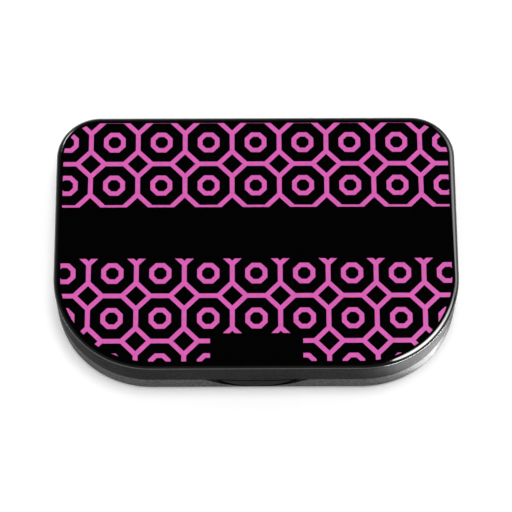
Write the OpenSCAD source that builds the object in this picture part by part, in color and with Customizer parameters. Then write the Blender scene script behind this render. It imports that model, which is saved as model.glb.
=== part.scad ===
// Flat hinged case for one pair of false eyelashes.
// The base holds a tray with two lash wells and a rear compartment. The lid holds a mirror inside
// and a glossy printed plate outside, and turns on two steel pins at the back.
// The case lies on its base: +Z is up, the thumb dip faces -Y and the origin is the middle of the
// underside. The case is drawn closed.

/* [Case] */
// Width of the case, left to right
case_w = 110; // [100:1:130]
// Depth of the case, front to back, without the hinge
case_d = 74; // [70:1:90]
// Radius of the two rear corners
back_r = 12; // [10:0.5:16]
// Radius of the two front corners
front_r = 26.5; // [18:0.5:27]
// Thickness of the side walls of both shells
wall = 1.8; // [1.8:0.1:2.4]
// Height of the base up to the line where lid and base meet
base_h = 7.2; // [6.8:0.1:9]
// Height of the lid's side wall
lid_h = 8.3; // [7.8:0.1:10]
// Thickness of the base's floor
floor_t = 1.4; // [1:0.1:1.8]
// Radius of the rounded edge under the base
bottom_r = 1.6; // [0.8:0.1:1.7]
// Edge break where lid, base and cover meet
edge_break = 0.2; // [0.1:0.05:0.3]

/* [Joint between lid and base] */
// Thickness of the lid's skin outside the locating lip
skin_t = 0.85; // [0.7:0.05:0.9]
// Height of the base's locating lip above the joint
lip_h = 0.8; // [0.5:0.1:1]
// Free gap between pieces that slide past or drop into each other
fit_gap = 0.15; // [0.1:0.05:0.2]

/* [Thumb dip] */
// Width of the dip in the base's front wall
dip_w = 28.4; // [24:0.5:32]
// Depth of the dip below the joint
dip_h = 5.7; // [5.3:0.1:5.7]
// Width of the lid's lift lip where it leaves the lid
tab_w = 19.5; // [14:0.5:22]
// Height of the lift lip below the joint
tab_h = 4.8; // [3:0.1:4.8]
// Thickness of the lift lip
tab_t = 1.2; // [1:0.1:1.5]
// How far the lift lip's lower edge flares out
flare_t = 0.15; // [0.1:0.05:0.5]
// Height of the plain part of the lift lip above its flared edge
flare_drop = 0.9; // [0.6:0.1:2.2]

/* [Cover] */
// Thickness of the glossy plate at its edge
cover_t = 1; // [0.9:0.05:1.4]
// Width of the plate's rounded shoulder
shoulder_w = 1.4; // [1.2:0.1:1.5]
// Height of the plate's rounded shoulder
shoulder_h = 0.85; // [0.6:0.05:0.85]
// Open seam between the plate and the lid's wall
seam = 0.2; // [0.1:0.05:0.3]
// How far the plate sits down inside the lid's wall
plug_h = 0.4; // [0.3:0.05:0.6]
// Thickness of the tape under the plate
cover_tape_t = 0.2; // [0.1:0.05:0.3]
// Bare margin between a tape's edge and the wall or edge next to it
tape_margin = 1.8; // [1:0.1:2.5]

/* [Print] */
// Thickness of the printed ink
ink_t = 0.05; // [0.03:0.01:0.1]
// Bare margin between the print and the plate's edge
print_margin = 1.9; // [1.6:0.1:4]
// Distance between the centres of neighbouring octagons
cell = 13; // [10:0.5:18]
// Width of the printed lines
line_w = 1.3; // [0.8:0.1:1.8]
// Size over the flats of the small octagon in each cell, outside its line
core_w = 6; // [4:0.1:7]
// Rear edge of the bare middle band
bare_back_y = 9.7; // [6:0.1:14]
// Front edge of the bare middle band
bare_front_y = -5.5; // [-9:0.1:-2]
// Width of the bare place at the middle of the front edge
plain_w = 25; // [0:1:40]
// Depth of the bare place, from the print's front edge
plain_d = 8; // [4:0.5:12]

/* [Mirror] */
// Thickness of the lid's web between plate and mirror
web_t = 1.2; // [0.8:0.1:1.6]
// Thickness of the tape behind the mirror
mirror_tape_t = 0.3; // [0.2:0.05:0.5]
// Thickness of the mirror glass
mirror_t = 1.2; // [1:0.1:1.5]
// Distance between the mirror's side edges and the case's side faces
mirror_side = 5; // [5:0.5:9]
// Distance between the mirror's rear edge and the case's rear face
mirror_back = 5; // [4.5:0.1:6]
// Distance between the mirror's front edge and the case's front face
mirror_front = 11.5; // [11.4:0.1:16]
// Radius of the mirror's rear corners
mirror_back_r = 7; // [4:0.5:10]
// Radius of the mirror's front corners
mirror_front_r = 16; // [14:0.5:20]
// How far the bezel reaches over the mirror's edge
bezel_over = 1.2; // [0.8:0.1:2]
// Thickness of the bezel below the mirror
bezel_t = 0.8; // [0.6:0.1:1.2]

/* [Tray] */
// Gap between the tray and the base's wall
tray_gap = 0.2; // [0.1:0.05:0.4]
// Thickness of the tray's deck, walls and floors
tray_t = 1; // [0.8:0.1:1.2]
// Distance of the tray's deck below the joint
deck_drop = 0.6; // [0.3:0.1:1]
// Thickness of the tape pads under the tray
tray_tape_t = 0.2; // [0.1:0.05:0.3]
// Distance between the hollows' side edges and the case's side faces
well_side = 7.5; // [7:0.1:9]
// Distance between the lash wells' front edge and the case's front face
well_front = 13.5; // [12:0.5:14]
// Width of the bar between the two lash wells
well_bar = 7; // [5:0.5:9]
// Width of the bar between the lash wells and the rear compartment
rear_bar = 4; // [3:0.5:5]
// Depth of the rear compartment, front to back
rear_d = 19; // [15:0.5:20]
// Distance between the rear compartment and the case's rear face
rear_back = 5.5; // [5:0.1:7]
// Radius of the lash wells' corners
well_r = 8; // [6:0.5:10]
// Radius of the rear compartment's corners
rear_r = 5; // [4:0.5:7]

/* [Lash rests] */
// Radius of the curve that a lash strip lies on
rest_r = 20; // [18:0.5:22]
// Half of the angle that a rest covers
rest_half = 54; // [40:1:56]
// Width of a rest
rest_w = 4; // [3:0.1:4]
// Height of a rest above the well's floor
rest_h = 2.8; // [2.5:0.1:3.2]
// Distance between the crown of a rest and the rear wall of its well
rest_back = 10; // [6:0.5:12]
// Height of the upright foot of a rest's ends
rest_foot = 0.5; // [0.3:0.1:1]
// Lean of a rest's ends above their foot
rest_slope = 40; // [20:5:50]

/* [Magnets] */
// Radius of the magnets
magnet_r = 2.5; // [2:0.1:2.6]
// Thickness of the magnets
magnet_t = 2; // [1.5:0.1:2.2]
// Distance of the magnets from the middle, left and right
magnet_x = 22; // [18:0.5:26]
// Distance between the magnets' centres and the case's front face
magnet_front = 6.6; // [6.5:0.1:6.8]
// Plastic around a magnet in its post
magnet_wall = 1; // [0.8:0.1:1.1]
// Glue gap round a magnet in its pocket
glue_gap = 0.05; // [0.02:0.01:0.1]
// Gap between the magnets of lid and base
magnet_gap = 0.4; // [0.3:0.05:0.8]

/* [Hinge] */
// Distance of the hinge axis behind the case's rear face
hinge_out = 1; // [0.8:0.1:1.2]
// Radius of the hinge knuckles
knuckle_r = 2; // [1.8:0.1:2.1]
// Radius of the hinge pins
pin_r = 0.75; // [0.6:0.05:0.9]
// Running clearance between a pin and the lid's knuckle
pin_play = 0.05; // [0.02:0.01:0.08]
// Length of each of the base's knuckles
base_knuckle = 6.5; // [5:0.5:8]
// Length of each of the lid's knuckles
lid_knuckle = 10.6; // [8:0.2:12]
// Gap beside and around the knuckles
knuckle_gap = 0.2; // [0.15:0.05:0.3]
// Distance between the middle of the case and the middle of a hinge
hinge_x = 26; // [24:0.5:30]
// Plastic left behind the inner end of a pin
pin_stop = 1; // [0.6:0.1:2]
// How far a knuckle's fairing reaches along the wall
fairing_h = 4.4; // [3:0.1:5]
// Distance of the stop heels from the joint
heel_drop = 0.5; // [0.3:0.1:0.8]
// Angle at which the stop heels meet the shells
stop_angle = 124; // [118:1:130]

/* [Hidden] */
$fn = 96;
overcut = 1;
split_z = base_h;
lid_top_z = split_z + lid_h;
cap_z = lid_top_z + seam;
top_z = cap_z + cover_t;
web_top_z = lid_top_z - plug_h;
plug_z = web_top_z + cover_tape_t;
web_z = web_top_z - web_t;
glass_top_z = web_z - mirror_tape_t;
glass_z = glass_top_z - mirror_t;
bezel_z = glass_z - bezel_t;
shoulder_r = (shoulder_w * shoulder_w + shoulder_h * shoulder_h) / (2 * shoulder_h);
land_w = skin_t + fit_gap;
rebate_z = split_z + lip_h + fit_gap;
inside = wall + fit_gap;
tray_inset = wall + tray_gap;
tray_z = floor_t + tray_tape_t;
well_floor_z = tray_z + tray_t;
deck_z = split_z - deck_drop;
mirror_w = case_w - 2 * mirror_side;
mirror_d = case_d - mirror_back - mirror_front;
mirror_y = (mirror_front - mirror_back) / 2;
rear_w = case_w - 2 * well_side;
rear_y = case_d / 2 - rear_back - rear_d / 2;
well_w = (rear_w - well_bar) / 2;
well_x = (well_w + well_bar) / 2;
well_back_y = rear_y - rear_d / 2 - rear_bar;
well_d = well_back_y + case_d / 2 - well_front;
well_y = well_back_y - well_d / 2;
rest_y = well_back_y - rest_back - rest_w / 2 - rest_r;
magnet_y = -case_d / 2 + magnet_front;
post_r = magnet_r + magnet_wall;
post_z = deck_z + magnet_gap;
hinge_y = case_d / 2 + hinge_out;
sweep_r = knuckle_r + knuckle_gap;
heel_out = (hinge_out + heel_drop * sin(stop_angle)) / -cos(stop_angle);
hinge_half = lid_knuckle / 2 + knuckle_gap + base_knuckle;
dip_r = (dip_w * dip_w / 4 + dip_h * dip_h) / (2 * dip_h);
tab_r = (tab_w * tab_w / 4 + tab_h * tab_h) / (2 * tab_h);
crease_r = (tab_w * tab_w / 4 + flare_drop * flare_drop) / (2 * flare_drop);

// Rounded rectangle with one radius at the front and another at the back
module outline(w, d, rf, rb) {
    translate([-w / 2, -d / 2 + rf]) square([w, d - rf - rb]);
    translate([-w / 2 + rf, -d / 2]) square([w - 2 * rf, rf]);
    translate([-w / 2 + rb, d / 2 - rb]) square([w - 2 * rb, rb]);
    for (side = [-1, 1]) {
        translate([side * (w / 2 - rf), -d / 2 + rf]) circle(rf);
        translate([side * (w / 2 - rb), d / 2 - rb]) circle(rb);
    }
}

// The case's own outline, drawn in from its outer face
module case_outline(inset) {
    outline(case_w - 2 * inset, case_d - 2 * inset, front_r - inset, back_r - inset);
}

// Runs a profile round the case. Its x is the distance in from the outer face, its y the height.
module around_case() {
    sides = [
        [[case_w / 2, case_d / 2 - back_r], 0, case_d - back_r - front_r],
        [[-case_w / 2 + back_r, case_d / 2], 90, case_w - 2 * back_r],
        [[-case_w / 2, -case_d / 2 + front_r], 180, case_d - back_r - front_r],
        [[case_w / 2 - front_r, -case_d / 2], 270, case_w - 2 * front_r]];
    corners = [
        [[case_w / 2 - back_r, case_d / 2 - back_r], 0, back_r],
        [[-case_w / 2 + back_r, case_d / 2 - back_r], 90, back_r],
        [[-case_w / 2 + front_r, -case_d / 2 + front_r], 180, front_r],
        [[case_w / 2 - front_r, -case_d / 2 + front_r], 270, front_r]];
    for (side = sides)
        translate(side[0]) rotate(side[1]) rotate([90, 0, 0])
            linear_extrude(side[2]) mirror([1, 0]) children();
    for (corner = corners)
        translate(corner[0]) rotate(corner[1])
            rotate_extrude(angle = 90) translate([corner[2], 0]) mirror([1, 0]) children();
}

// Lens cut from a circle that hangs below the joint line at the front
module hanging_lens(r, drop, up) {
    intersection() {
        translate([0, split_z - drop + r]) circle(r);
        translate([-r, split_z - drop - overcut]) square([2 * r, drop + overcut + up]);
    }
}

// Block that stands in the front wall, from its outer face inwards
module in_front_wall(out, depth) {
    translate([0, -case_d / 2 + depth, 0]) rotate([90, 0, 0])
        linear_extrude(out + depth) children();
}

// Cylinder along the hinge axis, between two distances from the middle of a hinge
module on_axis(from, to, r) {
    translate([from, hinge_y, split_z]) rotate([0, 90, 0]) cylinder(r = r, h = to - from);
}

// One knuckle with its fairing and stop heel. way is -1 on the base and 1 on the lid.
module knuckle(from, to, way) {
    bite = hinge_out + skin_t / 2;
    on_axis(from, to, knuckle_r);
    translate([from, hinge_y, split_z]) rotate([90, 0, 90]) linear_extrude(to - from)
        polygon([[-bite, 0], [knuckle_r, 0], [heel_out, way * heel_drop],
            [-hinge_out, way * fairing_h], [-bite, way * fairing_h]]);
}

// The two hinges, each drawn about its own middle. side is -1 on the left and 1 on the right.
module at_hinges() {
    for (side = [-1, 1])
        translate([side * hinge_x, 0, 0]) children();
}

module magnet_places() {
    for (side = [-1, 1])
        translate([side * magnet_x, magnet_y, 0]) children();
}

module base_wall() {
    polygon([[bottom_r, 0], [wall, 0], [wall, split_z + lip_h], [land_w, split_z + lip_h],
        [land_w, split_z], [edge_break, split_z], [0, split_z - edge_break], [0, bottom_r],
        [bottom_r, bottom_r]]);
    intersection() {
        translate([bottom_r, bottom_r]) circle(bottom_r);
        square(bottom_r);
    }
}

module base_shell() {
    color("#262626") difference() {
        union() {
            around_case() base_wall();
            linear_extrude(floor_t) case_outline(wall);
            at_hinges() {
                knuckle(-hinge_half, -lid_knuckle / 2 - knuckle_gap, -1);
                knuckle(lid_knuckle / 2 + knuckle_gap, hinge_half, -1);
            }
        }
        at_hinges() on_axis(-lid_knuckle / 2 - knuckle_gap, lid_knuckle / 2 + knuckle_gap, sweep_r);
        pin_bores();
        in_front_wall(overcut, wall) hanging_lens(dip_r, dip_h, lip_h + overcut);
    }
}

// Bores that grip the pins, open at the outer end of each hinge
module pin_bores() {
    for (side = [-1, 1])
        translate([side * hinge_x, 0, 0]) mirror([side < 0 ? 1 : 0, 0, 0])
            on_axis(-hinge_half + pin_stop, hinge_half + overcut, pin_r);
}

module lid_wall() {
    polygon([[edge_break, split_z], [skin_t, split_z], [skin_t, rebate_z], [wall, rebate_z],
        [wall, lid_top_z], [edge_break, lid_top_z], [0, lid_top_z - edge_break],
        [0, split_z + edge_break]]);
}

// Lip that a thumb lifts, flared at its lower edge
module lift_lip() {
    in_front_wall(0, tab_t) hanging_lens(tab_r, tab_h, edge_break);
    in_front_wall(flare_t, skin_t) difference() {
        hanging_lens(tab_r, tab_h, 0);
        hanging_lens(crease_r, flare_drop, overcut);
    }
}

module lid_shell() {
    color("#303030") difference() {
        union() {
            around_case() lid_wall();
            translate([0, 0, web_z]) linear_extrude(web_t) case_outline(wall);
            at_hinges() knuckle(-lid_knuckle / 2, lid_knuckle / 2, 1);
            magnet_places() translate([0, 0, post_z]) cylinder(r = post_r, h = web_z - post_z);
            lift_lip();
        }
        at_hinges() {
            on_axis(-hinge_half - knuckle_gap, -lid_knuckle / 2, sweep_r);
            on_axis(lid_knuckle / 2, hinge_half + knuckle_gap, sweep_r);
            on_axis(-lid_knuckle / 2 - overcut, lid_knuckle / 2 + overcut, pin_r + pin_play);
        }
        magnet_places() translate([0, 0, post_z - overcut])
            cylinder(r = magnet_r + glue_gap, h = magnet_t + overcut);
    }
}

module cover_edge() {
    translate([shoulder_w, cap_z]) square([wall - shoulder_w, cover_t]);
    intersection() {
        translate([shoulder_w, top_z - shoulder_r]) circle(shoulder_r);
        translate([0, cap_z]) square([shoulder_w, cover_t]);
    }
}

module cover_plate() {
    color("#050505") union() {
        around_case() cover_edge();
        translate([0, 0, cap_z]) linear_extrude(cover_t) case_outline(wall);
        translate([0, 0, plug_z]) linear_extrude(cap_z - plug_z) case_outline(inside);
    }
}

// Octagon over its flats, with two flats square to the front
module octagon(flats) {
    rotate(22.5) circle(r = flats / 2 / cos(22.5), $fn = 8);
}

// The two printed bands, before the pattern is drawn in them
module print_bands() {
    front_y = -case_d / 2 + print_margin;
    difference() {
        case_outline(print_margin);
        translate([-case_w / 2, bare_front_y]) square([case_w, bare_back_y - bare_front_y]);
        translate([-plain_w / 2, front_y - overcut]) square([plain_w, plain_d + overcut]);
    }
}

// Children at the cells of the octagon grid, which starts at the rear edge of the bare middle band
module on_grid(shift) {
    columns = ceil(case_w / 2 / cell);
    rows = ceil((case_d / 2 + bare_back_y) / cell);
    for (column = [-columns : columns], row = [-rows : rows]) {
        y = bare_back_y + (row + 0.5 + shift) * cell;
        in_back_band = y > bare_back_y - cell / 2 && y < (case_d + cell) / 2;
        in_front_band = y < bare_front_y + cell / 2 && y > -(case_d + cell) / 2;
        if (in_back_band || in_front_band)
            translate([(column + shift) * cell, y]) children();
    }
}

module cover_print() {
    diamond = cell / 2 * (2 - sqrt(2)) - line_w / sqrt(2);
    color("#db5fb6") translate([0, 0, top_z]) linear_extrude(ink_t) union() {
        difference() {
            print_bands();
            on_grid(0) octagon(cell - line_w);
            on_grid(0.5) circle(r = diamond, $fn = 4);
        }
        intersection() {
            print_bands();
            on_grid(0) difference() {
                octagon(core_w);
                octagon(core_w - 2 * line_w);
            }
        }
    }
}

module cover_adhesive() {
    color("#d8d2c4") translate([0, 0, web_top_z]) linear_extrude(cover_tape_t)
        case_outline(wall + tape_margin);
}

// The mirror's outline, let out by a margin
module mirror_outline(margin) {
    translate([0, mirror_y]) outline(mirror_w + 2 * margin, mirror_d + 2 * margin,
        mirror_front_r + margin, mirror_back_r + margin);
}

module mirror_glass() {
    color("#c8d4da") translate([0, 0, glass_z]) linear_extrude(mirror_t) mirror_outline(0);
}

module mirror_adhesive() {
    color("#e6e6e2") translate([0, 0, glass_top_z]) linear_extrude(mirror_tape_t)
        mirror_outline(-tape_margin);
}

module mirror_bezel() {
    color("#1c1c1c") difference() {
        translate([0, 0, bezel_z]) linear_extrude(web_z - bezel_z) case_outline(inside);
        translate([0, 0, glass_z]) linear_extrude(web_z) mirror_outline(fit_gap);
        translate([0, 0, bezel_z - overcut]) linear_extrude(web_z) mirror_outline(-bezel_over);
        magnet_places() translate([0, 0, bezel_z - overcut])
            cylinder(r = post_r + fit_gap, h = web_z);
    }
}

// The three hollows of the tray, let out by a margin
module tray_hollows(margin) {
    for (side = [-1, 1])
        translate([side * well_x, well_y])
            outline(well_w + 2 * margin, well_d + 2 * margin, well_r + margin, well_r + margin);
    translate([0, rear_y])
        outline(rear_w + 2 * margin, rear_d + 2 * margin, rear_r + margin, rear_r + margin);
}

module lash_tray() {
    color("#1f1f1f") difference() {
        translate([0, 0, tray_z]) linear_extrude(deck_z - tray_z) case_outline(tray_inset);
        translate([0, 0, well_floor_z]) linear_extrude(split_z) tray_hollows(0);
        translate([0, 0, tray_z - overcut])
            linear_extrude(deck_z - tray_t - tray_z + overcut) difference() {
                case_outline(tray_inset + tray_t);
                tray_hollows(tray_t);
                magnet_places() circle(post_r);
            }
        magnet_places() translate([0, 0, deck_z - magnet_t])
            cylinder(r = magnet_r + glue_gap, h = split_z);
    }
}

module tray_adhesive() {
    color("#d8d2c4") translate([0, 0, floor_t]) linear_extrude(tray_tape_t)
        tray_hollows(-tape_margin);
}

// Curved ridge with a round top and sloping ends, standing in one lash well
module lash_rest() {
    translate([0, rest_y, well_floor_z]) difference() {
        rotate(90 - rest_half) rotate_extrude(angle = 2 * rest_half)
            translate([rest_r, 0]) rest_profile();
        for (end = [0, 1])
            mirror([end, 0, 0]) rotate(-rest_half) translate([0, rest_r, 0]) rest_end();
    }
}

module rest_profile() {
    centre = rest_h - rest_w / 2;
    translate([-rest_w / 2, 0]) square([rest_w, centre]);
    translate([0, centre]) intersection() {
        circle(rest_w / 2);
        translate([-rest_w / 2, 0]) square([rest_w, rest_w / 2]);
    }
}

// What is cut away above the sloping end of a rest
module rest_end() {
    reach = rest_h + overcut;
    rotate([90, 0, 0]) linear_extrude(2 * rest_w, center = true)
        polygon([[0, rest_foot], [reach, rest_foot], [reach, reach],
            [-(reach - rest_foot) * tan(rest_slope), reach]]);
}

module lash_rest_left() {
    color("#4a4348") translate([-well_x, 0, 0]) lash_rest();
}

module lash_rest_right() {
    color("#4a4348") translate([well_x, 0, 0]) lash_rest();
}

// Steel pin, flush with the outer end of its hinge
module hinge_pin() {
    on_axis(-hinge_half + pin_stop, hinge_half, pin_r);
}

module hinge_pin_left() {
    color("#b9bcc0") translate([-hinge_x, 0, 0]) mirror([1, 0, 0]) hinge_pin();
}

module hinge_pin_right() {
    color("#b9bcc0") translate([hinge_x, 0, 0]) hinge_pin();
}

module magnet(x, z) {
    color("#c9c9c4") translate([x, magnet_y, z]) cylinder(r = magnet_r, h = magnet_t);
}

module lid_magnet_left() {
    magnet(-magnet_x, post_z);
}

module lid_magnet_right() {
    magnet(magnet_x, post_z);
}

module base_magnet_left() {
    magnet(-magnet_x, deck_z - magnet_t);
}

module base_magnet_right() {
    magnet(magnet_x, deck_z - magnet_t);
}

base_shell();
lid_shell();
cover_plate();
cover_print();
cover_adhesive();
mirror_glass();
mirror_adhesive();
mirror_bezel();
lash_tray();
tray_adhesive();
lash_rest_left();
lash_rest_right();
hinge_pin_left();
hinge_pin_right();
lid_magnet_left();
lid_magnet_right();
base_magnet_left();
base_magnet_right();
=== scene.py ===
"""Finishes, silicone lash rests and a studio for a hinged false eyelash case.

The case's solid pieces come with the frame. Each operator below finishes one piece or one group of
like pieces, and the last one builds the studio. All sizes are in metres.
"""

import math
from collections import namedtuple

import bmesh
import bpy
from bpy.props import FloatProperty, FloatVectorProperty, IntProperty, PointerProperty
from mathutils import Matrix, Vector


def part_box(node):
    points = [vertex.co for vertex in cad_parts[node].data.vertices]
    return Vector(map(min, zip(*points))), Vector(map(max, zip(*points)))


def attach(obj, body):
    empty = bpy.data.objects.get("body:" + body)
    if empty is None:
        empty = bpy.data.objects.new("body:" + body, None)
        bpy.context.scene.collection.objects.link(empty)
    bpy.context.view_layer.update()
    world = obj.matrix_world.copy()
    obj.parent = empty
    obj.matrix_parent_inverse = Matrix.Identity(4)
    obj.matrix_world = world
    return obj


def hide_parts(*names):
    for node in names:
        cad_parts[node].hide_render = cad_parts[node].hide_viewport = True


bl_info = {
    "name": "Lash Case Finishes",
    "version": (1, 0, 0),
    "blender": (4, 5, 0),
    "location": "3D View > Sidebar > Lash Case",
    "description": "Finishes, silicone rests and a studio for a hinged false eyelash case",
    "category": "Object",
}

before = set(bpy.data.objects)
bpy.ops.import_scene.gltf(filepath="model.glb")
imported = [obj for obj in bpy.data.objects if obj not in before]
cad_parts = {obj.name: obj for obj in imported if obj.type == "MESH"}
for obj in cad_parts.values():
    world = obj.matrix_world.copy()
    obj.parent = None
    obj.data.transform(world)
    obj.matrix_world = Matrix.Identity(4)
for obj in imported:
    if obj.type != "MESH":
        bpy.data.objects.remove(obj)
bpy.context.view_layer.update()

MM = 0.001
SIDES = ("left", "right")
MERGE_DISTANCE = 0.001 * MM
METAL = {"Metallic": 1.0}

# Upward part of a face's normal at which the face starts to count as a level top, and fully counts. On the
# shells, level tops get a near-black painted shade.
SHADED_UPWARD_FACES = (0.75, 0.9)
PLATE_FACE = (0.985, 0.999)

# Grain of the satin plastic
FLOW_SIZE = 12 * MM
# Band below the base's upper rim over which the colour is painted lighter: a painted highlight along the
# rim edge
RIM_HIGHLIGHT_REACH = 0.6 * MM
GRAIN_DETAIL = 4
GRAIN_SHARPNESS = 0.65
GRAIN_CONTRAST = (0.32, 0.68)
FLOW_SWING = 0.05
GRAIN_SWING = 0.1

# Rounded edges and smooth shading
EDGE_SEGMENTS = 2
EDGE_ANGLE = math.radians(40)
SMOOTH_ANGLE = math.radians(50)

# Steps of the lash rests' sweeps, and which point from the crown each groove lies on
ARC_STEPS = 36
END_STEPS = 24
GROOVE_POINT = 3

# The studio's brightness at each height in the sky, from level with the floor up to overhead
SKY = ((0.0, 0.5), (0.12, 0.34), (0.3, 0.22), (0.5, 0.15), (0.7, 0.1), (0.86, 0.002))
SUN_PLACE = Vector((0, 0, 1))
KEY_DIRECTION = Vector((0.06, 0.02, 1))
FILL_DIRECTION = Vector((0, 0, 1))
FILL_SOFTNESS = math.radians(150)
OPEN_BEAM = math.radians(180)
CAMERA_AIM = Vector((0, -0.87, 7)) * MM
CAMERA_CLIP = 10 * MM
FLOOR_ROUGHNESS = 0.9

# A bright card that shows only as a reflection. It hangs at a distance from a target, in a direction from
# it, and faces back along that direction. The ground strip's target is the floor beside the case, where it
# lies and faces up. A level of 1 is white. A beam narrower than OPEN_BEAM is a grid on the card, which
# darkens it when it is seen from the side.
Card = namedtuple("Card", "name target direction distance size level beam")
CARDS = (
    Card("Ground strip", target=Vector((60, -42, 1)) * MM, direction=Vector((0.02, -0.02, -1)),
         distance=0, size=Vector((84, 36)) * MM, level=8, beam=OPEN_BEAM),
    Card("Corner strip", target=Vector((50, -23.5, 14)) * MM, direction=Vector((0.52, -0.24, 0.82)),
         distance=24 * MM, size=Vector((56, 40)) * MM, level=20, beam=math.radians(66)),
    Card("Side strip", target=Vector((55, 12, 14)) * MM, direction=Vector((0.65, 0.33, 0.68)),
         distance=28 * MM, size=Vector((70, 30)) * MM, level=4.2, beam=math.radians(70)),
    Card("Rear card", target=Vector((-46, 30, 16)) * MM, direction=Vector((-0.40, 0.62, 0.67)),
         distance=300 * MM, size=Vector((50, 70)) * MM, level=12, beam=OPEN_BEAM),
)


def colour_property(name, description, default):
    """A linear colour that the sidebar shows as a swatch."""
    return FloatVectorProperty(
        name=name, description=description, default=default, subtype="COLOR", size=3, min=0, max=1)


def length_property(name, description, default_mm):
    """A length in metres, whose default is given in millimetres."""
    return FloatProperty(
        name=name, description=description, default=default_mm * MM, unit="LENGTH", precision=5)


def share_property(name, description, default):
    """A number from 0 to 1."""
    return FloatProperty(name=name, description=description, default=default, min=0, max=1)


class ShellFinish(bpy.types.PropertyGroup):
    """Satin moulded plastic of the base, the lid and the tray"""

    base_colour: colour_property("Base", "Colour of the base shell", (0.085, 0.084, 0.086))
    lid_colour: colour_property("Lid", "Colour of the lid shell", (0.021, 0.0207, 0.0213))
    tray_colour: colour_property("Tray", "Colour of the tray", (0.030, 0.029, 0.030))
    base_gloss: share_property("Base gloss", "Strength of the base's reflections", 0.07)
    lid_gloss: share_property("Lid gloss", "Strength of the lid's reflections", 0.015)
    roughness: share_property("Roughness", "Roughness of the satin surface", 0.52)
    grain_size: length_property("Grain size", "Width of the moulded grain", 0.6)
    grain_reach: FloatProperty(name="Grain reach", description="Grain's height compared with its width",
                               default=1.6, min=1)
    grain_depth: length_property("Grain depth", "Depth of the moulded grain", 0.05)
    speckle: share_property("Speckle", "How much the grain lightens and darkens the colour", 0.7)
    tray_gloss: share_property("Tray gloss", "Strength of the tray's reflections", 0.4)
    tray_speckle: share_property("Tray speckle", "How much the grain lightens and darkens the tray", 0.3)
    # The base's upper rim is painted lighter below this height: a painted highlight where its edge would
    # catch the light
    rim_height: length_property("Rim height", "Height of the base's upper rim", 7.2)
    rim_painted_highlight: share_property("Rim painted highlight", "How much the base's upper rim is rubbed lighter", 0.35)
    # Near-black painted shade on the shells' upward faces, such as the floor of the thumb dip under the
    # lid's tab
    painted_shade_colour: colour_property("Upward painted shade", "Colour of the plain faces that point upwards",
                                    (0.004, 0.004, 0.004))


class CoverFinish(bpy.types.PropertyGroup):
    """Gloss plate on the lid and the ink on it"""

    plate_colour: colour_property("Plate", "Colour of the gloss plate", (0.001, 0.001, 0.001))
    plate_roughness: share_property("Plate roughness", "Roughness of the gloss plate", 0.09)
    edge_gloss: share_property("Edge gloss", "Strength of the plate's reflections on its shoulder", 0.75)
    face_gloss: share_property("Face gloss", "Strength of the plate's reflections on top", 0.16)
    ink_gloss: share_property("Ink gloss", "Strength of the ink's reflections", 0.22)
    smear_size: length_property("Smear size", "Size of the faint patches in the gloss", 9.0)
    ink_colour: colour_property("Ink", "Colour of the printed lines", (0.708, 0.117, 0.468))
    ink_roughness: share_property("Ink roughness", "Roughness of the ink", 0.34)
    mottle_size: length_property("Mottle size", "Size of the ink's faint unevenness", 1.1)


class MirrorFinish(bpy.types.PropertyGroup):
    """Mirror, its gloss bezel and the tapes"""

    silver_colour: colour_property("Silver", "Tint of the mirror", (0.88, 0.91, 0.90))
    bezel_colour: colour_property("Bezel", "Colour of the bezel", (0.012, 0.012, 0.013))
    bezel_roughness: share_property("Bezel roughness", "Roughness of the bezel", 0.12)
    bezel_gloss: share_property("Bezel gloss", "Strength of the bezel's reflections", 0.6)
    smear_size: length_property("Smear size", "Size of the faint patches in the gloss", 6.0)
    tape_colour: colour_property("Tape", "Colour of the foam tapes", (0.68, 0.64, 0.55))
    tape_cell: length_property("Foam cell", "Size of the cells in the foam tape", 0.25)


class RestShape(bpy.types.PropertyGroup):
    """Curved silicone ridge that a lash band lies on"""

    arc_radius: length_property("Arc radius", "Radius of the ridge's middle line", 20.0)
    width: length_property("Width", "Width of the ridge", 4.0)
    end_angle: FloatProperty(
        name="End angle", description="Angle from the crown to the middle of a round end",
        default=math.radians(50.5), subtype="ANGLE")
    groove_depth: length_property("Groove depth", "Depth of the two grooves on top", 0.16)
    colour: colour_property("Colour", "Colour of the silicone", (0.078, 0.056, 0.066))
    segments: IntProperty(name="Segments", description="Points round the ridge's profile",
                          default=48, min=24, max=96)


class HardwareFinish(bpy.types.PropertyGroup):
    """Hinge pins and magnets"""

    steel_colour: colour_property("Steel", "Colour of the hinge pins", (0.55, 0.55, 0.56))
    nickel_colour: colour_property("Nickel", "Colour of the magnets", (0.72, 0.70, 0.66))
    edge_round: length_property("Edge radius", "Rounding of the pins' and magnets' edges", 0.12)


class StudioSetup(bpy.types.PropertyGroup):
    """Camera, floor and lamps"""

    elevation: FloatProperty(name="Elevation", description="Camera's angle above the floor",
                             default=math.radians(68), subtype="ANGLE")
    azimuth: FloatProperty(name="Azimuth", description="Camera's turn round the case",
                           default=math.radians(0.66), subtype="ANGLE")
    roll: FloatProperty(name="Roll", description="Camera's turn about its own axis",
                        default=math.radians(0.42), subtype="ANGLE")
    view_angle: FloatProperty(name="View angle", description="Camera's field of view",
                              default=math.radians(12.2), subtype="ANGLE")
    distance: length_property("Distance", "Distance from the camera to the point it aims at", 661.8)
    floor_size: length_property("Floor", "Side of the square floor", 6000)
    floor_colour: colour_property("Floor colour", "Colour of the floor", (0.93, 0.93, 0.93))
    floor_glow: share_property("Floor glow", "White added where the camera looks at the floor", 0.2)
    key_level: FloatProperty(name="Key level", description="Brightness of the light from overhead",
                             default=0.58, min=0)
    key_softness: FloatProperty(name="Key softness", description="Width of the key light in the sky",
                                default=math.radians(22), subtype="ANGLE")
    fill_level: FloatProperty(name="Fill level", description="Brightness of the soft overhead panel",
                              default=0.3, min=0)


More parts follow.
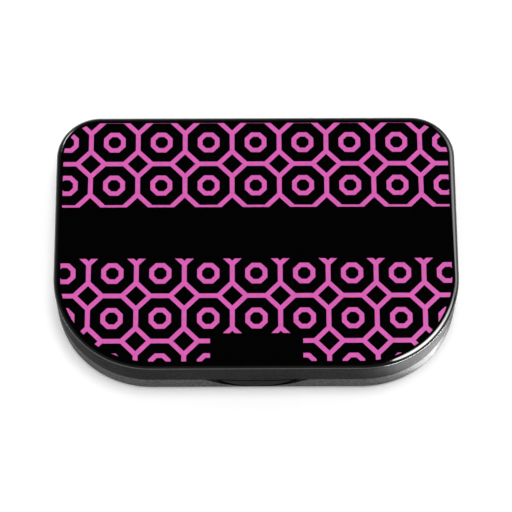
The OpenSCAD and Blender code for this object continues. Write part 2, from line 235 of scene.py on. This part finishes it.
def start_material(name, colour, roughness, sockets=None):
    """A new material. Its shader holds these constants, and textures can be linked to it later."""
    material = bpy.data.materials.new(name)
    material.use_nodes = True
    shader = material.node_tree.nodes["Principled BSDF"]
    shader.inputs["Base Color"].default_value = (*colour, 1)
    shader.inputs["Roughness"].default_value = roughness
    for socket, value in (sockets or {}).items():
        shader.inputs[socket].default_value = value
    return material, material.node_tree, shader


def object_place(tree, stretch=(1, 1, 1)):
    """The place on the case that a texture reads, in metres, stretched along the axes."""
    place = tree.nodes.new("ShaderNodeTexCoord")
    mapping = tree.nodes.new("ShaderNodeMapping")
    mapping.inputs["Scale"].default_value = stretch
    tree.links.new(place.outputs["Object"], mapping.inputs["Vector"])
    return mapping.outputs["Vector"]


def noise(tree, place, size, detail=2.0, roughness=0.5):
    """Noise from 0 to 1 whose blobs are about this size. A rough one has stronger fine blobs."""
    node = tree.nodes.new("ShaderNodeTexNoise")
    node.inputs["Scale"].default_value = 1 / size
    node.inputs["Detail"].default_value = detail
    node.inputs["Roughness"].default_value = roughness
    tree.links.new(place, node.inputs["Vector"])
    return node.outputs["Fac"]


def combined(tree, operation, first, second):
    """Two values, or a value and a number, put together by a named operation of the Math node."""
    node = tree.nodes.new("ShaderNodeMath")
    node.operation = operation
    for socket, value in zip(node.inputs, (first, second)):
        if isinstance(value, (int, float)):
            socket.default_value = value
        else:
            tree.links.new(value, socket)
    return node.outputs[0]


def spread(tree, value, low, high, start=0.3, end=0.7):
    """Carries a value over from the range start to end into the range low to high."""
    node = tree.nodes.new("ShaderNodeMapRange")
    for socket, number in (("From Min", start), ("From Max", end), ("To Min", low), ("To Max", high)):
        node.inputs[socket].default_value = number
    tree.links.new(value, node.inputs["Value"])
    return node.outputs["Result"]


def between_colours(tree, value, first, second):
    """The colour that lies between two colours, given or computed, at a value from 0 to 1."""
    node = tree.nodes.new("ShaderNodeMix")
    node.data_type = "RGBA"
    colour_inputs = [socket for socket in node.inputs if socket.type == "RGBA"]
    for socket, colour in zip(colour_inputs, (first, second)):
        if isinstance(colour, bpy.types.NodeSocket):
            tree.links.new(colour, socket)
        else:
            socket.default_value = (*colour, 1)
    tree.links.new(value, node.inputs["Factor"])
    return next(socket for socket in node.outputs if socket.type == "RGBA")


def upward_part(tree, direction):
    """How far a direction or a place lies upwards: its Z."""
    parts = tree.nodes.new("ShaderNodeSeparateXYZ")
    tree.links.new(direction, parts.inputs[0])
    return parts.outputs["Z"]


def levelness(tree, low, high, reach):
    """The value high on level tops and low on all other faces. It changes over within this reach."""
    normal = tree.nodes.new("ShaderNodeTexCoord").outputs["Normal"]
    return spread(tree, upward_part(tree, normal), low, high, *reach)


def bumps(tree, height, depth):
    """A normal raised by this height."""
    node = tree.nodes.new("ShaderNodeBump")
    node.inputs["Distance"].default_value = depth
    tree.links.new(height, node.inputs["Height"])
    return node.outputs["Normal"]


def scaled(colour, factor):
    """A colour made lighter or darker."""
    return tuple(min(1.0, channel * factor) for channel in colour)


def satin_plastic(name, colour, finish, gloss, speckle_depth, rim=None, shade_upward_faces=True):
    """Moulded satin plastic: drawn grain, with upward faces darkened as painted shade and a rim painted
    lighter as a painted highlight, if wanted.
    """
    material, tree, shader = start_material(name, colour, finish.roughness)
    shader.inputs["Specular IOR Level"].default_value = gloss
    drawn = object_place(tree, (1, 1, 1 / finish.grain_reach))
    grain = noise(tree, drawn, finish.grain_size, GRAIN_DETAIL, GRAIN_SHARPNESS)
    flow = noise(tree, object_place(tree), FLOW_SIZE)
    speckle = spread(tree, grain, 0, 1, *GRAIN_CONTRAST)
    # Painted highlight: the colour is lightened towards the base's upper rim, where its edge would catch
    # the light
    if rim:
        height = upward_part(tree, object_place(tree))
        painted = spread(tree, height, 0, finish.rim_painted_highlight, rim - RIM_HIGHLIGHT_REACH, rim)
        speckle = combined(tree, "ADD", speckle, painted)
    speckled = between_colours(
        tree, speckle, scaled(colour, 1 - speckle_depth), scaled(colour, 1 + speckle_depth))
    patches = spread(tree, flow, finish.roughness - FLOW_SWING, finish.roughness + FLOW_SWING)
    grained = combined(tree, "ADD", patches, spread(tree, grain, -GRAIN_SWING, GRAIN_SWING))
    # Painted shade: upward faces are darkened to near-black, standing in for the shadow in the thumb dip
    # under the tab
    if shade_upward_faces:
        level = levelness(tree, 0, 1, SHADED_UPWARD_FACES)
        speckled = between_colours(tree, level, speckled, finish.painted_shade_colour)
    tree.links.new(speckled, shader.inputs["Base Color"])
    tree.links.new(grained, shader.inputs["Roughness"])
    tree.links.new(bumps(tree, grain, finish.grain_depth), shader.inputs["Normal"])
    return material


def gloss_plastic(name, colour, roughness, patch_size, gloss, face_gloss=None):
    """Polished plastic with faint handling patches, and perhaps a duller level face."""
    patch_dulling = 1.6
    wave_size = 5 * MM
    wave_depth = 0.002 * MM
    material, tree, shader = start_material(name, colour, roughness)
    shader.inputs["Specular IOR Level"].default_value = gloss
    if face_gloss is not None:
        tree.links.new(levelness(tree, gloss, face_gloss, PLATE_FACE),
                       shader.inputs["Specular IOR Level"])
    place = object_place(tree)
    patches = noise(tree, place, patch_size, detail=4)
    tree.links.new(spread(tree, patches, roughness, patch_dulling * roughness),
                   shader.inputs["Roughness"])
    waves = noise(tree, place, wave_size, detail=1)
    tree.links.new(bumps(tree, waves, wave_depth), shader.inputs["Normal"])
    return material


def printed_ink(name, finish):
    """Screen-printed ink: one colour with a faint mottle and a fine unevenness from the screen."""
    darkest, lightest = 0.93, 1.06
    screen_size = 0.15 * MM
    screen_depth = 0.002 * MM
    colour = finish.ink_colour
    material, tree, shader = start_material(name, colour, finish.ink_roughness)
    shader.inputs["Specular IOR Level"].default_value = finish.ink_gloss
    place = object_place(tree)
    mottle = noise(tree, place, finish.mottle_size, detail=4)
    tree.links.new(
        between_colours(
            tree, spread(tree, mottle, 0, 1), scaled(colour, darkest), scaled(colour, lightest)),
        shader.inputs["Base Color"])
    screen = noise(tree, place, screen_size)
    tree.links.new(bumps(tree, screen, screen_depth), shader.inputs["Normal"])
    return material


def silvered_mirror(name, finish):
    """Silvered glass with a trace of haze."""
    clearest, haziest = 0.01, 0.035
    haze_size = 14 * MM
    material, tree, shader = start_material(name, finish.silver_colour, clearest, METAL)
    haze = noise(tree, object_place(tree), haze_size, detail=3)
    tree.links.new(spread(tree, haze, clearest, haziest), shader.inputs["Roughness"])
    return material


def foam_tape(name, finish):
    """Double-sided foam tape with small cells."""
    roughness = 0.85
    darkest, lightest = 0.8, 1.1
    cell_depth = 0.03 * MM
    colour = finish.tape_colour
    material, tree, shader = start_material(name, colour, roughness)
    cells = noise(tree, object_place(tree), finish.tape_cell, detail=3)
    tree.links.new(
        between_colours(
            tree, spread(tree, cells, 0, 1), scaled(colour, darkest), scaled(colour, lightest)),
        shader.inputs["Base Color"])
    tree.links.new(bumps(tree, cells, cell_depth), shader.inputs["Normal"])
    return material


def soft_silicone(name, colour):
    """Silicone: a dull skin with a soft sheen and a dusty unevenness."""
    smoothest, roughest = 0.55, 0.7
    darkest, lightest = 0.85, 1.2
    dust_size = 2.2 * MM
    skin_size = 0.2 * MM
    skin_depth = 0.006 * MM
    sheen = {"Sheen Weight": 0.25, "Sheen Roughness": 0.5}
    material, tree, shader = start_material(name, colour, roughest, sheen)
    place = object_place(tree)
    dust = noise(tree, place, dust_size, detail=4)
    tree.links.new(
        between_colours(
            tree, spread(tree, dust, 0, 1), scaled(colour, darkest), scaled(colour, lightest)),
        shader.inputs["Base Color"])
    tree.links.new(spread(tree, dust, smoothest, roughest), shader.inputs["Roughness"])
    tree.links.new(bumps(tree, noise(tree, place, skin_size), skin_depth), shader.inputs["Normal"])
    return material


def ground_steel(name, colour):
    """Steel with fine grinding lines round the pin."""
    smoothest, roughest = 0.2, 0.38
    line_length = 0.5 * MM
    lines_per_length = 12
    line_depth = 0.004 * MM
    material, tree, shader = start_material(name, colour, smoothest, METAL)
    lines = noise(tree, object_place(tree, (lines_per_length, 1, 1)), line_length, detail=3)
    tree.links.new(spread(tree, lines, smoothest, roughest), shader.inputs["Roughness"])
    tree.links.new(bumps(tree, lines, line_depth), shader.inputs["Normal"])
    return material


def nickel_plate(name, colour):
    """Nickel plating with a dull haze, a little uneven."""
    smoothest, roughest = 0.3, 0.4
    haze_size = 1.5 * MM
    dimple_size = 0.3 * MM
    dimple_depth = 0.001 * MM
    material, tree, shader = start_material(name, colour, smoothest, METAL)
    place = object_place(tree)
    haze = noise(tree, place, haze_size, detail=3)
    tree.links.new(spread(tree, haze, smoothest, roughest), shader.inputs["Roughness"])
    tree.links.new(bumps(tree, noise(tree, place, dimple_size), dimple_depth), shader.inputs["Normal"])
    return material


def finish_node(name, material, edge_round=0):
    """Gives a node of the frame its material and, if wanted, rounded edges."""
    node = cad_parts[name]
    node.data.materials.clear()
    node.data.materials.append(material)
    if edge_round:
        weld = node.modifiers.new("Weld", "WELD")
        weld.merge_threshold = MERGE_DISTANCE
        round_edges = node.modifiers.new("Round edges", "BEVEL")
        round_edges.width = edge_round
        round_edges.segments = EDGE_SEGMENTS
        round_edges.limit_method = "ANGLE"
        round_edges.angle_limit = EDGE_ANGLE
        round_edges.harden_normals = True


def start_edit(piece):
    """Opens a piece for editing with nothing selected."""
    bpy.ops.object.select_all(action="DESELECT")
    bpy.context.view_layer.objects.active = piece
    piece.select_set(True)
    bpy.ops.object.mode_set(mode="EDIT")
    bpy.ops.mesh.select_all(action="DESELECT")


def select_points(piece, test):
    """Selects the points of the open piece that pass a test, and the edges between them."""
    mesh = bmesh.from_edit_mesh(piece.data)
    for point in mesh.verts:
        point.select = test(point.co)
    mesh.select_flush_mode()
    bmesh.update_edit_mesh(piece.data)


class LASHCASE_OT_shells(bpy.types.Operator):
    """Finishes the base and the lid in grained satin plastic"""

    bl_idname = "lashcase.shells"
    bl_label = "Finish Shells"

    def execute(self, context):
        finish = context.scene.lash_shells
        base = satin_plastic("Base satin", finish.base_colour, finish, finish.base_gloss,
                             finish.speckle, finish.rim_height)
        lid = satin_plastic("Lid satin", finish.lid_colour, finish, finish.lid_gloss, finish.speckle)
        finish_node("base_shell", base)
        finish_node("lid_shell", lid)
        return {"FINISHED"}


class LASHCASE_OT_tray(bpy.types.Operator):
    """Finishes the tray with the lash wells"""

    bl_idname = "lashcase.tray"
    bl_label = "Finish Tray"

    def execute(self, context):
        finish = context.scene.lash_shells
        tray = satin_plastic("Tray satin", finish.tray_colour, finish, finish.tray_gloss,
                             finish.tray_speckle, shade_upward_faces=False)
        finish_node("lash_tray", tray)
        return {"FINISHED"}


class LASHCASE_OT_cover(bpy.types.Operator):
    """Finishes the gloss plate on the lid and its printed lines"""

    bl_idname = "lashcase.cover"
    bl_label = "Finish Cover"

    def execute(self, context):
        finish = context.scene.lash_cover
        finish_node("cover_plate", gloss_plastic(
            "Cover gloss", finish.plate_colour, finish.plate_roughness, finish.smear_size,
            finish.edge_gloss, finish.face_gloss))
        finish_node("cover_print", printed_ink("Print ink", finish))
        return {"FINISHED"}


class LASHCASE_OT_mirror(bpy.types.Operator):
    """Finishes the mirror, its bezel and all the tapes"""

    bl_idname = "lashcase.mirror"
    bl_label = "Finish Mirror"

    def execute(self, context):
        finish = context.scene.lash_mirror
        finish_node("mirror_glass", silvered_mirror("Mirror silver", finish))
        finish_node("mirror_bezel", gloss_plastic(
            "Bezel gloss", finish.bezel_colour, finish.bezel_roughness, finish.smear_size,
            finish.bezel_gloss))
        tape = foam_tape("Foam tape", finish)
        for name in ("cover_adhesive", "mirror_adhesive", "tray_adhesive"):
            finish_node(name, tape)
        return {"FINISHED"}


class LASHCASE_OT_rests(bpy.types.Operator):
    """Models the two silicone lash rests with round ends and two grooves on top"""

    bl_idname = "lashcase.rests"
    bl_label = "Model Lash Rests"

    def execute(self, context):
        shape = context.scene.lash_rests
        left = self.model(shape)
        left.data.materials.append(soft_silicone("Rest silicone", shape.colour))
        right = self.copy_across(left)
        for side, rest in zip(SIDES, (left, right)):
            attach(rest, "base")
            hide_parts(f"lash_rest_{side}")
        return {"FINISHED"}

    def copy_across(self, left):
        """A copy of the left rest, with its own mesh, in the right rest's place."""
        right = left.copy()
        right.data = left.data.copy()
        right.name = "silicone_rest_right"
        bpy.context.scene.collection.objects.link(right)
        right.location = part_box("lash_rest_right")[0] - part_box("lash_rest_left")[0]
        bpy.ops.object.select_all(action="DESELECT")
        bpy.context.view_layer.objects.active = right
        right.select_set(True)
        bpy.ops.object.transform_apply(location=True, rotation=True, scale=True)
        return right

    def model(self, shape):
        """The left rest, modelled about its arc's centre and then moved to its node's place."""
        low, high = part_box("lash_rest_left")
        radius = shape.width / 2
        crown = high.z - low.z
        rest = self.profile(shape, "silicone_rest_left", crown)
        bpy.ops.mesh.select_all(action="SELECT")
        bpy.ops.mesh.spin(steps=ARC_STEPS, angle=shape.end_angle, center=(0, 0, 0), axis=(0, 0, 1))
        end = Matrix.Rotation(-shape.end_angle, 3, "Z") @ Vector((0, shape.arc_radius, 0))
        across = end.normalized()
        along = Vector((-across.y, across.x, 0))
        select_points(rest, lambda co: abs((co - end).dot(along)) < MERGE_DISTANCE
                      and (co - end).dot(across) > -MERGE_DISTANCE)
        bpy.ops.mesh.spin(steps=END_STEPS, angle=math.pi, center=end, axis=(0, 0, 1))
        bpy.ops.mesh.select_all(action="SELECT")
        bpy.ops.mesh.remove_doubles(threshold=MERGE_DISTANCE)
        bpy.ops.object.mode_set(mode="OBJECT")
        mirror = rest.modifiers.new("Other half", "MIRROR")
        mirror.merge_threshold = MERGE_DISTANCE
        bpy.ops.object.modifier_apply(modifier=mirror.name)
        start_edit(rest)
        bpy.ops.mesh.select_non_manifold()
        bpy.ops.mesh.edge_face_add()
        bpy.ops.mesh.select_all(action="SELECT")
        bpy.ops.mesh.normals_make_consistent(inside=False)
        bpy.ops.object.mode_set(mode="OBJECT")
        bpy.ops.object.shade_smooth_by_angle(angle=SMOOTH_ANGLE)
        rest.location = ((low.x + high.x) / 2, high.y - shape.arc_radius - radius, low.z)
        bpy.ops.object.transform_apply(location=True, rotation=True, scale=True)
        return rest

    def profile(self, shape, name, crown):
        """The ridge's cross-section at the crown: a half circle on two upright sides."""
        radius = shape.width / 2
        middle = Vector((0, shape.arc_radius, crown - radius))
        bpy.ops.object.select_all(action="DESELECT")
        bpy.ops.mesh.primitive_circle_add(
            vertices=shape.segments, radius=radius, rotation=(0, math.pi / 2, 0), location=middle)
        rest = bpy.context.active_object
        rest.name = name
        bpy.ops.object.transform_apply(location=True, rotation=True, scale=True)
        start_edit(rest)
        select_points(rest, lambda co: co.z < middle.z - MERGE_DISTANCE)
        bpy.ops.mesh.delete(type="VERT")
        select_points(rest, lambda co: co.z < middle.z + MERGE_DISTANCE)
        bpy.ops.mesh.extrude_vertices_move(
            TRANSFORM_OT_translate={"value": (0, 0, radius - crown)})
        point_angle = math.tau / shape.segments
        select_points(rest, lambda co: round(
            math.atan2(abs(co.y - middle.y), co.z - middle.z) / point_angle) == GROOVE_POINT)
        bpy.ops.transform.translate(value=(0, 0, -shape.groove_depth))
        return rest


class LASHCASE_OT_hardware(bpy.types.Operator):
    """Finishes the hinge pins and the magnets"""

    bl_idname = "lashcase.hardware"
    bl_label = "Finish Hardware"

    def execute(self, context):
        finish = context.scene.lash_hardware
        steel = ground_steel("Pin steel", finish.steel_colour)
        nickel = nickel_plate("Magnet nickel", finish.nickel_colour)
        for side in SIDES:
            finish_node(f"hinge_pin_{side}", steel, finish.edge_round)
            finish_node(f"lid_magnet_{side}", nickel, finish.edge_round)
            finish_node(f"base_magnet_{side}", nickel, finish.edge_round)
        return {"FINISHED"}


class LASHCASE_OT_studio(bpy.types.Operator):
    """Builds the floor, the surroundings, the lamps and the camera"""

    bl_idname = "lashcase.studio"
    bl_label = "Build Studio"

    def execute(self, context):
        setup = context.scene.lash_studio
        context.scene.view_settings.view_transform = "Standard"
        self.floor(setup)
        self.surroundings(context.scene)
        self.key(setup)
        self.fill(setup)
        for card in CARDS:
            self.card(card)
        self.camera(context.scene, setup)
        return {"FINISHED"}

    def floor(self, setup):
        """Pale matte floor. It keeps the case's shadow, and is lifted towards white in the picture."""
        bpy.ops.object.select_all(action="DESELECT")
        bpy.ops.mesh.primitive_plane_add(size=setup.floor_size)
        floor = bpy.context.active_object
        floor.name = "Floor"
        material, tree, shader = start_material("Floor", setup.floor_colour, FLOOR_ROUGHNESS)
        shader.inputs["Specular IOR Level"].default_value = 0
        glow = tree.nodes.new("ShaderNodeEmission")
        paths = tree.nodes.new("ShaderNodeLightPath").outputs
        seen = combined(tree, "MAXIMUM", paths["Is Camera Ray"], paths["Is Glossy Ray"])
        seen = combined(tree, "MAXIMUM", seen, paths["Is Transmission Ray"])
        tree.links.new(combined(tree, "MULTIPLY", seen, setup.floor_glow), glow.inputs["Strength"])
        both = tree.nodes.new("ShaderNodeAddShader")
        tree.links.new(shader.outputs[0], both.inputs[0])
        tree.links.new(glow.outputs[0], both.inputs[1])
        tree.links.new(both.outputs[0], tree.nodes["Material Output"].inputs["Surface"])
        floor.data.materials.append(material)

    def surroundings(self, scene):
        """A studio that is grey near the floor and black overhead."""
        world = bpy.data.worlds.new("Studio")
        world.use_nodes = True
        tree = world.node_tree
        direction = tree.nodes.new("ShaderNodeTexCoord").outputs["Generated"]
        shade = tree.nodes.new("ShaderNodeValToRGB")
        tree.links.new(upward_part(tree, direction), shade.inputs[0])
        tree.links.new(shade.outputs["Color"], tree.nodes["Background"].inputs["Color"])
        ramp = shade.color_ramp
        ramp.elements[0].position, ramp.elements[1].position = SKY[0][0], SKY[-1][0]
        for height, _ in SKY[1:-1]:
            ramp.elements.new(height)
        for element, (_, level) in zip(ramp.elements, SKY):
            element.color = (level, level, level, 1)
        scene.world = world

    def key(self, setup):
        """Soft light from almost straight overhead that gives the case its contact shadow."""
        light = bpy.data.lights.new("Key", "SUN")
        light.energy = setup.key_level * math.pi
        light.angle = setup.key_softness
        self.hang(light, SUN_PLACE, KEY_DIRECTION)

    def fill(self, setup):
        """Light from the whole sky overhead, which softens the shadows."""
        light = bpy.data.lights.new("Fill", "SUN")
        light.energy = setup.fill_level * math.pi
        light.angle = FILL_SOFTNESS
        self.hang(light, SUN_PLACE, FILL_DIRECTION)

    def hang(self, light, place, towards):
        """Puts a light at a place, so that it comes from the direction given."""
        lamp = bpy.data.objects.new(light.name, light)
        lamp.location = place
        lamp.rotation_euler = towards.to_track_quat("Z", "Y").to_euler()
        lamp.visible_camera = False
        lamp.visible_glossy = False
        bpy.context.scene.collection.objects.link(lamp)
        return lamp

    def card(self, card):
        """Hangs one of the cards. Its power follows from its level, its size and its grid."""
        light = bpy.data.lights.new(card.name, "AREA")
        light.shape = "ELLIPSE"
        light.size, light.size_y = card.size
        light.energy = card.level * math.pi * light.size * light.size_y
        if card.beam < OPEN_BEAM:
            half = card.beam / 2
            light.spread = card.beam
            light.energy *= (math.tan(half) - half) / math.tan(half)
        towards = card.direction.normalized()
        lamp = self.hang(light, card.target + towards * card.distance, towards)
        lamp.visible_glossy = True
        lamp.visible_diffuse = False

    def camera(self, scene, setup):
        """Camera at the photograph's height, turn and distance."""
        flat = math.cos(setup.elevation)
        back = Vector((-math.sin(setup.azimuth) * flat, -math.cos(setup.azimuth) * flat,
                       math.sin(setup.elevation)))
        right = Vector((0, 0, 1)).cross(back).normalized()
        up = back.cross(right)
        upright = Matrix((right, up, back)).transposed()
        camera = bpy.data.objects.new("Camera", bpy.data.cameras.new("Camera"))
        camera.data.angle = setup.view_angle
        camera.data.clip_start = CAMERA_CLIP
        camera.matrix_world = (Matrix.Translation(CAMERA_AIM + back * setup.distance)
                               @ (upright @ Matrix.Rotation(setup.roll, 3, "Z")).to_4x4())
        scene.collection.objects.link(camera)
        scene.camera = camera


class LASHCASE_PT_panel(bpy.types.Panel):
    """Lists the steps and the settings of the case"""

    bl_label = "Lash Case"
    bl_idname = "LASHCASE_PT_panel"
    bl_space_type = "VIEW_3D"
    bl_region_type = "UI"
    bl_category = "Lash Case"

    def draw(self, context):
        layout = self.layout
        for operator in OPERATORS:
            layout.operator(operator.bl_idname)
        for attribute, group in SETTINGS.items():
            layout.label(text=group.__doc__)
            settings = getattr(context.scene, attribute)
            for prop in group.__annotations__:
                layout.prop(settings, prop)


SETTINGS = {
    "lash_shells": ShellFinish,
    "lash_cover": CoverFinish,
    "lash_mirror": MirrorFinish,
    "lash_rests": RestShape,
    "lash_hardware": HardwareFinish,
    "lash_studio": StudioSetup,
}
OPERATORS = (
    LASHCASE_OT_shells,
    LASHCASE_OT_tray,
    LASHCASE_OT_cover,
    LASHCASE_OT_mirror,
    LASHCASE_OT_rests,
    LASHCASE_OT_hardware,
    LASHCASE_OT_studio,
)


def register():
    for group in SETTINGS.values():
        bpy.utils.register_class(group)
    for attribute, group in SETTINGS.items():
        setattr(bpy.types.Scene, attribute, PointerProperty(type=group))
    for operator in (*OPERATORS, LASHCASE_PT_panel):
        bpy.utils.register_class(operator)


def unregister():
    for operator in (LASHCASE_PT_panel, *reversed(OPERATORS)):
        bpy.utils.unregister_class(operator)
    for attribute in SETTINGS:
        delattr(bpy.types.Scene, attribute)
    for group in SETTINGS.values():
        bpy.utils.unregister_class(group)


def main():
    register()
    bpy.ops.lashcase.shells()
    bpy.ops.lashcase.tray()
    bpy.ops.lashcase.cover()
    bpy.ops.lashcase.mirror()
    bpy.ops.lashcase.rests()
    bpy.ops.lashcase.hardware()
    bpy.ops.lashcase.studio()


if __name__ == "__main__":
    main()
